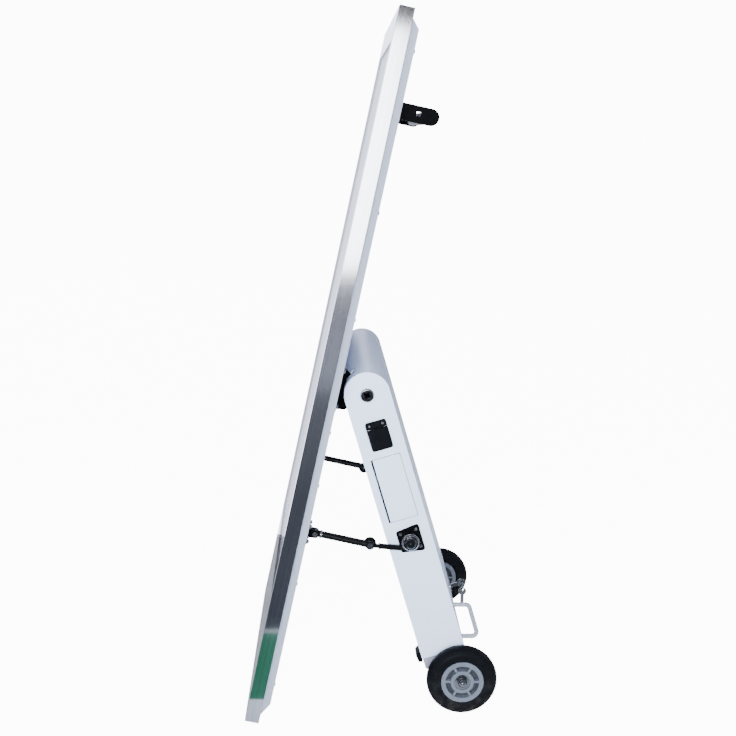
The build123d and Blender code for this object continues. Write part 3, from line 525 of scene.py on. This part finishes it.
def make_finishes():
    """One material for each of the record's slots."""
    look = finish()
    paint, black, rubber = tuple(look.paint), tuple(look.black), tuple(look.rubber)
    return {
        "brushed": brushed_frame("frame_brushed_long", False),
        "front_glass": cover_glass("cover_glass"),
        "lcd": dark_panel("lcd_off"),
        "inner_steel": zinc("inner_steel", (0.55, 0.56, 0.58)),
        "white_paint": powder_coat("white_powder_coat", paint),
        "board": circuit_board("circuit_board"),
        "speaker_black": moulded_plastic("speaker_plastic", (0.02, 0.02, 0.022), 0.5),
        "black_steel": textured_black("black_powder_coat", black),
        "bronze": zinc("sintered_bronze", (0.55, 0.33, 0.14)),
        "bright_steel": polished_steel("bright_plating", (0.72, 0.72, 0.74)),
        "screw_steel": polished_steel("zinc_screws", (0.48, 0.48, 0.50), 0.22),
        "black_rubber": black_rubber("black_rubber", rubber),
        "battery_plastic": moulded_plastic("battery_case", (0.03, 0.03, 0.035), 0.5),
        "tyre_rubber": black_rubber("tyre_rubber", rubber, 0.42, 0.16),
        "hub_plastic": moulded_hub("hub_plastic", tuple(look.hub)),
        "black_plastic": moulded_plastic("black_plastic", (0.015, 0.015, 0.017), 0.42),
        "handle_grey": powder_coat("grey_bar_paint", tuple(look.bar), 0.34, 0.00003),
        "key_brass": polished_steel("key_nickel", (0.40, 0.40, 0.41), 0.18),
    }


materials = {}


def material_for(slot):
    if not materials:
        materials.update(make_finishes())
    return materials[slot]


# ---------------------------------------------------------------- mesh tools
def joint_place(name):
    return Vector(joints[name]["pos_m"])


def adopt(piece, node, material=None):
    """Link a new piece, give it its finish and let it ride and stand for its node."""
    bpy.context.scene.collection.objects.link(piece)
    piece.data.materials.clear()
    piece.data.materials.append(material or material_for(slots[node]))
    piece.data.shade_smooth()
    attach(piece, body_of_node[node])
    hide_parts(node)


def paint_nodes(*names, material=None):
    """A carried-over node keeps its shape and gets a finish."""
    for name in names:
        for entry in nodes[name].material_slots:
            entry.material = material or material_for(slots[name])


def rounded(name, width, material=None):
    """A copy of a node with its sharp edges rounded, standing for the node."""
    mesh = nodes[name].data.copy()
    mesh.name = name + "_rounded"
    bm = bmesh.new()
    bm.from_mesh(mesh)
    bmesh.ops.remove_doubles(bm, verts=bm.verts, dist=WELD)
    bmesh.ops.dissolve_limit(bm, angle_limit=FLAT, verts=bm.verts, edges=bm.edges)
    bm.to_mesh(mesh)
    bm.free()
    piece = bpy.data.objects.new(name + "_rounded", mesh)
    adopt(piece, name, material)
    bevel = piece.modifiers.new("round_edges", "BEVEL")
    bevel.width = width
    bevel.segments = BEVEL_SEGMENTS
    bevel.limit_method = "ANGLE"
    bevel.angle_limit = BEVEL_ANGLE
    bevel.use_clamp_overlap = True
    flat = piece.modifiers.new("flat_faces", "WEIGHTED_NORMAL")
    flat.keep_sharp = True
    flat.weight = 100


def lathe(profile, turns, centre):
    """A closed ring made by turning (across, radius) points about an X axis."""
    bm = bmesh.new()
    rings = []
    for step in range(turns):
        angle = 2 * math.pi * step / turns
        ring = []
        for across, radius in profile:
            place = Vector((across, radius * math.cos(angle), radius * math.sin(angle)))
            ring.append(bm.verts.new(place + centre))
        rings.append(ring)
    count = len(profile)
    for step in range(turns):
        here, there = rings[step], rings[(step + 1) % turns]
        for k in range(count):
            bm.faces.new((here[k], there[k], there[(k + 1) % count], here[(k + 1) % count]))
    bmesh.ops.recalc_face_normals(bm, faces=bm.faces)
    mesh = bpy.data.meshes.new("lathed")
    bm.to_mesh(mesh)
    bm.free()
    return mesh


class ABoardOperator:
    """Shared ending of every operator."""
    bl_options = {"REGISTER", "UNDO"}

    def execute(self, context):
        self.build(context)
        return {"FINISHED"}


# ---------------------------------------------------------------- pieces
class OBJECT_OT_aboard_frame(ABoardOperator, bpy.types.Operator):
    """Brushed rails round the display, with broken edges"""
    bl_idname = "aboard.frame"
    bl_label = "Frame Rails"

    def build(self, context):
        edge = context.scene.aboard_shape.plate_edge
        across = brushed_frame("frame_brushed_across", True)
        for name in ("right_side_rail", "left_side_rail"):
            rounded(name, edge)
        for name in ("top_rail", "bottom_rail"):
            rounded(name, edge, material=across)


class OBJECT_OT_aboard_screen(ABoardOperator, bpy.types.Operator):
    """Cover glass with its inked border over the dark panel"""
    bl_idname = "aboard.screen"
    bl_label = "Screen"

    def build(self, context):
        paint_nodes("front_glass", "lcd_panel", "backlight_tray")


class OBJECT_OT_aboard_rear_shell(ABoardOperator, bpy.types.Operator):
    """Painted rear shell, what it covers and its screws"""
    bl_idname = "aboard.rear_shell"
    bl_label = "Rear Shell"

    def build(self, context):
        # painted shade: the rear shell gets the greyer coat
        paint = powder_coat("shell_coat_painted_shade", tuple(context.scene.aboard_finish.shell))
        rounded("rear_shell", context.scene.aboard_shape.sheet_edge, material=paint)
        paint_nodes("main_board", "board_plate", "speakers", "cross_bars", "rear_shell_screws")


class OBJECT_OT_aboard_brackets(ABoardOperator, bpy.types.Operator):
    """Hinge and stay brackets with their screws, pins and bushes"""
    bl_idname = "aboard.brackets"
    bl_label = "Brackets"

    def build(self, context):
        edge = context.scene.aboard_shape.plate_edge
        for name in ("hinge_brackets", "stay_brackets"):
            rounded(name, edge)
        paint_nodes("hinge_bushes", "stay_pins", "bracket_screws")


class OBJECT_OT_aboard_carry_handle(ABoardOperator, bpy.types.Operator):
    """Carry handle across the top of the back"""
    bl_idname = "aboard.carry_handle"
    bl_label = "Carry Handle"

    def build(self, context):
        rounded("handle_ends", context.scene.aboard_shape.plate_edge)
        rounded("handle_grip", context.scene.aboard_shape.plate_edge)


class OBJECT_OT_aboard_leg_box(ABoardOperator, bpy.types.Operator):
    """Painted sheet metal of the leg box and its folded rear door"""
    bl_idname = "aboard.leg_box"
    bl_label = "Leg Box"

    def build(self, context):
        edge = context.scene.aboard_shape.sheet_edge
        for name in ("right_side_plate", "left_side_plate", "front_wrap", "foot_plate", "rear_door"):
            rounded(name, edge)


class OBJECT_OT_aboard_leg_inside(ABoardOperator, bpy.types.Operator):
    """Battery, charger, shelf and hinge shaft inside the leg box"""
    bl_idname = "aboard.leg_inside"
    bl_label = "Leg Inside"

    def build(self, context):
        paint_nodes("battery_shelf", "battery_pack", "charger_case", "hinge_shaft")


class OBJECT_OT_aboard_side_fittings(ABoardOperator, bpy.types.Operator):
    """Doors, flap, plates, caps and screws on the sides of the leg box"""
    bl_idname = "aboard.side_fittings"
    bl_label = "Side Fittings"

    def build(self, context):
        edge = context.scene.aboard_shape.plate_edge
        for name in ("battery_door", "port_strip", "port_flap", "lock_plates"):
            rounded(name, edge)
        rounded("pivot_caps", 0.5 * edge, material=turned_cap("turned_cap"))
        paint_nodes("hinge_pins", material=polished_steel("blackened_pins", (0.03, 0.03, 0.034), 0.3))
        paint_nodes("charging_inlet", "leg_screws")


class OBJECT_OT_aboard_foot_fittings(ABoardOperator, bpy.types.Operator):
    """Rubber soles and bumpers, axle brackets and axle"""
    bl_idname = "aboard.foot_fittings"
    bl_label = "Foot Fittings"

    def build(self, context):
        edge = context.scene.aboard_shape.plate_edge
        rounded("bumpers", 2 * edge)
        rounded("axle_brackets", edge)
        rounded("axle_nuts", 0.5 * edge, material=polished_steel("nut_plating", (0.34, 0.34, 0.36), 0.12))
        paint_nodes("rubber_soles", "axle")


class OBJECT_OT_aboard_rear_fittings(ABoardOperator, bpy.types.Operator):
    """Rear bar, cam lock and keys"""
    bl_idname = "aboard.rear_fittings"
    bl_label = "Rear Fittings"

    def build(self, context):
        paint_nodes("rear_bar", "key_ring")
        for name in ("cam_lock", "lock_key", "spare_key"):
            rounded(name, 0.0002)


class OBJECT_OT_aboard_wheels(ABoardOperator, bpy.types.Operator):
    """Moulded hubs and round rubber tyres with parting lines"""
    bl_idname = "aboard.wheels"
    bl_label = "Wheels"

    def build(self, context):
        line = context.scene.aboard_shape.tread_line
        for side in ("right", "left"):
            rounded(side + "_hub", 0.0005)
            low, high = (Vector(corner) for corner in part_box(side + "_tyre"))
            hub_low, hub_high = (Vector(corner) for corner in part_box(side + "_hub"))
            half = (high.x - low.x) / 2
            outer = (high.z - low.z) / 2
            inner = (hub_high.z - hub_low.z) / 2
            centre = (low + high) / 2
            mesh = lathe(tyre_profile(half, outer, inner, line), TYRE_TURNS, centre)
            adopt(bpy.data.objects.new(side + "_tyre_moulded", mesh), side + "_tyre")


def tyre_profile(half, outer, inner, line):
    """Section of a fat tyre: a round crown, side lines and a bead on the hub."""
    points = [(half - 0.0015, inner + 0.0002)]
    crown = outer - SHOULDER
    points.append((half - 0.0004, inner + 0.0025))
    steps = 40
    for step in range(steps + 1):
        turn = math.pi / 2 * (1 - 2 * step / steps)
        across, radius = half * math.sin(turn), crown + SHOULDER * math.cos(turn)
        groove = 0.0
        for centre in (-0.86, 0.86):
            groove += line * math.exp(-((math.sin(turn) - centre) / 0.025) ** 2)
        groove += 0.5 * line * math.exp(-((math.sin(turn)) / 0.02) ** 2)
        points.append((across * (1 - groove / half), radius - groove * math.cos(turn)))
    points.append((-half + 0.0004, inner + 0.0025))
    points.append((-half + 0.0015, inner + 0.0002))
    return points


class OBJECT_OT_aboard_stays(ABoardOperator, bpy.types.Operator):
    """Folding stays with their bright collars, rivets and knobs"""
    bl_idname = "aboard.stays"
    bl_label = "Stays"

    def build(self, context):
        eye = eye_with_painted_highlight("stay_black_painted_highlight", tuple(context.scene.aboard_finish.black))
        knob = knob_with_painted_highlight("stay_knob")
        for side in ("right_", "left_"):
            rounded(side + "front_link", 0.0003, material=eye)
            rounded(side + "rear_link", 0.0004, material=eye)
            rounded(side + "stay_knob_and_rivet", 0.0003, material=knob)
            paint_nodes(side + "link_ring")


# ---------------------------------------------------------------- studio
RAYS = ("camera", "diffuse", "glossy", "transmission", "shadow")


def stage_plane(name, corners, material, rays):
    """A flat piece of the studio that only the named kinds of ray meet."""
    mesh = bpy.data.meshes.new(name)
    mesh.from_pydata([Vector(corner) for corner in corners], [], [(0, 1, 2, 3)])
    plane = bpy.data.objects.new(name, mesh)
    plane.data.materials.append(material)
    bpy.context.scene.collection.objects.link(plane)
    for ray in RAYS:
        setattr(plane, "visible_" + ray, ray in rays)


def on_floor(near, away, half, height):
    """Corners of a level rectangle between two distances in front of the board's side."""
    return [(near, -half, height), (away, -half, height), (away, half, height), (near, half, height)]


def card_material(name, colour, strength):
    g = Graph(name, {"Roughness": 1.0, "Emission Strength": strength})
    place = g.place()
    blotch = g.noise(place, 1.5, 2.0, 0.5)
    g.link("Emission Color", g.mix(blotch, shade(colour, 0.9), shade(colour, 1.1)))
    g.link("Base Color", g.mix(blotch, (0, 0, 0), (0.01, 0.01, 0.01)))
    return g.material


def floor_material(name, glow):
    """Matt pale floor with the faintest mottle; its glow lifts it to the backdrop's white."""
    g = Graph(name, {"Emission Color": (1, 1, 1, 1), "Emission Strength": glow})
    place = g.place()
    mottle = g.noise(place, 2.0, 4.0, 0.5)
    g.link("Base Color", g.mix(mottle, (0.60, 0.61, 0.64), (0.64, 0.65, 0.68)))
    g.link("Roughness", 0.85 + 0.1 * mottle)
    return g.material


def soft_light(name, place, aim, size, power, colour=(1, 1, 1)):
    data = bpy.data.lights.new(name, "AREA")
    data.shape = "RECTANGLE"
    data.size, data.size_y = size
    data.energy = power
    data.color = colour
    light = bpy.data.objects.new(name, data)
    light.location = place
    light.visible_camera = False
    light.rotation_euler = (Vector(aim) - Vector(place)).to_track_quat("-Z", "Y").to_euler()
    bpy.context.scene.collection.objects.link(light)
    return light


class OBJECT_OT_aboard_stage(ABoardOperator, bpy.types.Operator):
    """Pale floor, soft lights, reflection cards and camera"""
    bl_idname = "aboard.stage"
    bl_label = "Stage"

    def build(self, context):
        scene = context.scene
        studio = scene.aboard_studio
        self.surround(scene, studio)
        far = 40.0
        stage_plane("floor", on_floor(-far, far, far, 0), floor_material("floor_white", studio.backdrop),
                    ("camera",))
        stage_plane("floor_bounce", on_floor(-far, far, far, 0), floor_material("floor_pale", 0.0),
                    ("diffuse", "glossy", "transmission"))
        self.cards()
        centre = (0, 0, 0.6)
        key = soft_light("key_light", (3.6, -0.2, 1.6), (0, -0.05, 0.62), (3.0, 2.2), studio.key,
                         (0.88, 0.93, 1.0))
        key.visible_glossy = False
        soft_light("back_light", (-1.0, 3.0, 1.7), centre, (1.8, 1.8), 16, (0.88, 0.91, 1.0))
        soft_light("front_light", (-0.8, -3.2, 1.7), centre, (1.8, 1.8), 14, (0.96, 0.96, 1.0))
        self.camera(scene, studio)

    def surround(self, scene, studio):
        """A plain white backdrop, and a soft room of light for the board itself."""
        world = bpy.data.worlds.new("pale_surround")
        world.use_nodes = True
        g = Nodes(world.node_tree)
        ways = g.node("ShaderNodeTexCoord")
        split = g.node("ShaderNodeSeparateXYZ", {}, {0: g.wire(ways, "Generated")})
        spread = g.node("ShaderNodeMapRange", {}, {"Value": g.wire(split), "From Min": -1.0})
        stops = ((0.0, (0.34, 0.36, 0.44)), (0.4, (0.26, 0.27, 0.33)), (1.0, (0.24, 0.25, 0.31)))
        ramp = g.node("ShaderNodeValToRGB", {"stops": stops}, {"Fac": g.wire(spread, "Result")})
        room = g.tree.nodes["Background"]
        room.inputs["Strength"].default_value = studio.sky
        g.tree.links.new(ramp.outputs["Color"], room.inputs["Color"])
        white = g.node("ShaderNodeBackground", {}, {
            "Color": (1, 1, 1, 1), "Strength": studio.backdrop})
        rays = g.node("ShaderNodeLightPath")
        chooser = g.node("ShaderNodeMixShader", {}, {
            0: g.wire(rays, "Is Camera Ray"), 1: g.wire(room), 2: g.wire(white)})
        g.tree.links.new(chooser.outputs[0], g.tree.nodes["World Output"].inputs["Surface"])
        scene.world = world

    def cards(self):
        """Cards beside the board that only its gloss shows."""
        height, edge = 0.004, 0.32
        for name, near, away, colour, strength in (
                ("green_card", 0.385, 0.68, (0.03, 0.24, 0.14), 0.8),
                ("slate_card", 0.69, 3.0, (0.06, 0.07, 0.10), 0.6),
                ("grey_card", 3.0, 5.0, (0.26, 0.28, 0.36), 0.8)):
            stage_plane(name, on_floor(near, away, 1.6, height),
                        card_material(name, colour, strength), ("glossy",))
        for name, place, low, high, colour, strength in (
                ("white_card", 5.0, 0.25, 1.60, (1.0, 1.0, 1.05), 9.0),
                ("dark_card", 3.2, 1.41, 3.00, (0.02, 0.02, 0.025), 0.6)):
            stage_plane(name, [(place, -1.4, low), (place, edge, low), (place, edge, high),
                               (place, -1.4, high)], card_material(name, colour, strength), ("glossy",))
        lilac = card_material("lilac_card", (0.74, 0.77, 1.0), 4.2)
        far, side = -6, 0.5
        stage_plane("lilac_wall", [(far, far, 0), (far, side, 0), (far, side, 4), (far, far, 4)],
                    lilac, ("glossy",))
        stage_plane("lilac_floor", [(far, far, height), (-0.7, far, height), (-0.7, side, height),
                                    (far, side, height)], lilac, ("glossy",))

    def camera(self, scene, studio):
        data = bpy.data.cameras.new("camera")
        data.lens = studio.lens
        data.sensor_width = 36.0
        data.clip_start = 0.05
        camera = bpy.data.objects.new("camera", data)
        camera.location = (studio.camera_distance, studio.camera_side, studio.camera_height)
        pitch, yaw = studio.camera_pitch, studio.camera_yaw
        forward = Vector((-math.cos(pitch) * math.cos(yaw), math.cos(pitch) * math.sin(yaw),
                          -math.sin(pitch)))
        right = forward.cross(Vector((0, 0, 1))).normalized()
        up = right.cross(forward)
        roll = studio.camera_roll
        right, up = (right * math.cos(roll) + up * math.sin(roll),
                     up * math.cos(roll) - right * math.sin(roll))
        camera.rotation_euler = Matrix((right, up, -forward)).transposed().to_euler()
        scene.collection.objects.link(camera)
        scene.camera = camera


class VIEW3D_PT_aboard(bpy.types.Panel):
    """Sidebar panel listing the board's sizes, colours and steps"""
    bl_idname = "VIEW3D_PT_aboard"
    bl_label = "Wheeled A-Board"
    bl_space_type = "VIEW_3D"
    bl_region_type = "UI"
    bl_category = "A-Board"

    def draw(self, context):
        layout = self.layout
        for group in (context.scene.aboard_finish, context.scene.aboard_shape,
                      context.scene.aboard_studio):
            column = layout.column(align=True)
            for key in group.bl_rna.properties.keys():
                if key not in {"rna_type", "name"}:
                    column.prop(group, key)
        for operator in STEPS:
            layout.operator(operator.bl_idname)


STEPS = (OBJECT_OT_aboard_frame, OBJECT_OT_aboard_screen, OBJECT_OT_aboard_rear_shell,
         OBJECT_OT_aboard_brackets, OBJECT_OT_aboard_carry_handle, OBJECT_OT_aboard_leg_box,
         OBJECT_OT_aboard_leg_inside, OBJECT_OT_aboard_side_fittings, OBJECT_OT_aboard_foot_fittings,
         OBJECT_OT_aboard_rear_fittings, OBJECT_OT_aboard_wheels, OBJECT_OT_aboard_stays,
         OBJECT_OT_aboard_stage)
GROUPS = (ABoardFinish, ABoardShape, ABoardStudio)


def register():
    for cls in (*GROUPS, *STEPS, VIEW3D_PT_aboard):
        bpy.utils.register_class(cls)
    bpy.types.Scene.aboard_finish = PointerProperty(type=ABoardFinish)
    bpy.types.Scene.aboard_shape = PointerProperty(type=ABoardShape)
    bpy.types.Scene.aboard_studio = PointerProperty(type=ABoardStudio)


def unregister():
    del bpy.types.Scene.aboard_finish
    del bpy.types.Scene.aboard_shape
    del bpy.types.Scene.aboard_studio
    for cls in reversed((*GROUPS, *STEPS, VIEW3D_PT_aboard)):
        bpy.utils.unregister_class(cls)


def main():
    register()
    bpy.ops.aboard.frame()
    bpy.ops.aboard.screen()
    bpy.ops.aboard.rear_shell()
    bpy.ops.aboard.brackets()
    bpy.ops.aboard.carry_handle()
    bpy.ops.aboard.leg_box()
    bpy.ops.aboard.leg_inside()
    bpy.ops.aboard.side_fittings()
    bpy.ops.aboard.foot_fittings()
    bpy.ops.aboard.rear_fittings()
    bpy.ops.aboard.wheels()
    bpy.ops.aboard.stays()
    bpy.ops.aboard.stage()


if __name__ == "__main__":
    main()
